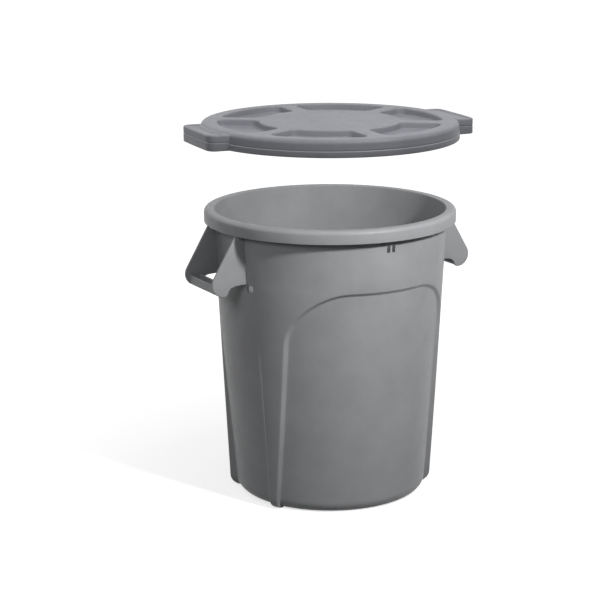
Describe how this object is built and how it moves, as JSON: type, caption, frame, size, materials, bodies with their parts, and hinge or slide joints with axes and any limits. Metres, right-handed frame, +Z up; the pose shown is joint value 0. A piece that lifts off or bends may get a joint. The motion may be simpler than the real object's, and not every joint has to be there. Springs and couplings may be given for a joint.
{
  "type": "trash can",
  "caption": "Tapered round utility container with hanging side handles, arched panels and a separate flat lid that lifts off its rolled rim.",
  "frame": {"origin": "centre of the container's base, on the floor", "axes": "+Z up along the container's axis, +X towards the right handle, -Y towards the arched panel that faces the front"},
  "size_m": [0.579, 0.5046, 0.74],
  "materials": {
    "container": "satin",
    "lid": "satin"
  },
  "bodies": {
    "container": {"base": "container", "front_panel": "container", "back_panel": "container", "left_side": "container", "right_side": "container", "upper_wall": "container", "rim": "container", "rib_front_left": "container", "rib_front_right": "container", "rib_back_left": "container", "rib_back_right": "container", "bracket_left_front": "container", "bracket_left_back": "container", "bracket_right_front": "container", "bracket_right_back": "container", "grip_left": "container", "grip_right": "container"},
    "lid": {"lid_plateau": "lid", "lid_crown": "lid", "lid_skirt": "lid", "lid_tab_left": "lid", "lid_tab_right": "lid", "lid_spoke_1": "lid", "lid_spoke_2": "lid", "lid_spoke_3": "lid", "lid_spoke_4": "lid", "lid_spoke_5": "lid", "lid_spoke_6": "lid", "lid_trough_1": "lid", "lid_trough_2": "lid", "lid_trough_3": "lid", "lid_trough_4": "lid", "lid_trough_5": "lid", "lid_trough_6": "lid"}
  },
  "joints": [
    {"name": "lid_lift", "type": "slide", "parent": "container", "child": "lid", "axis": [0, 0, 1], "range_m": [-0.1617, 0.1]}
  ]
}
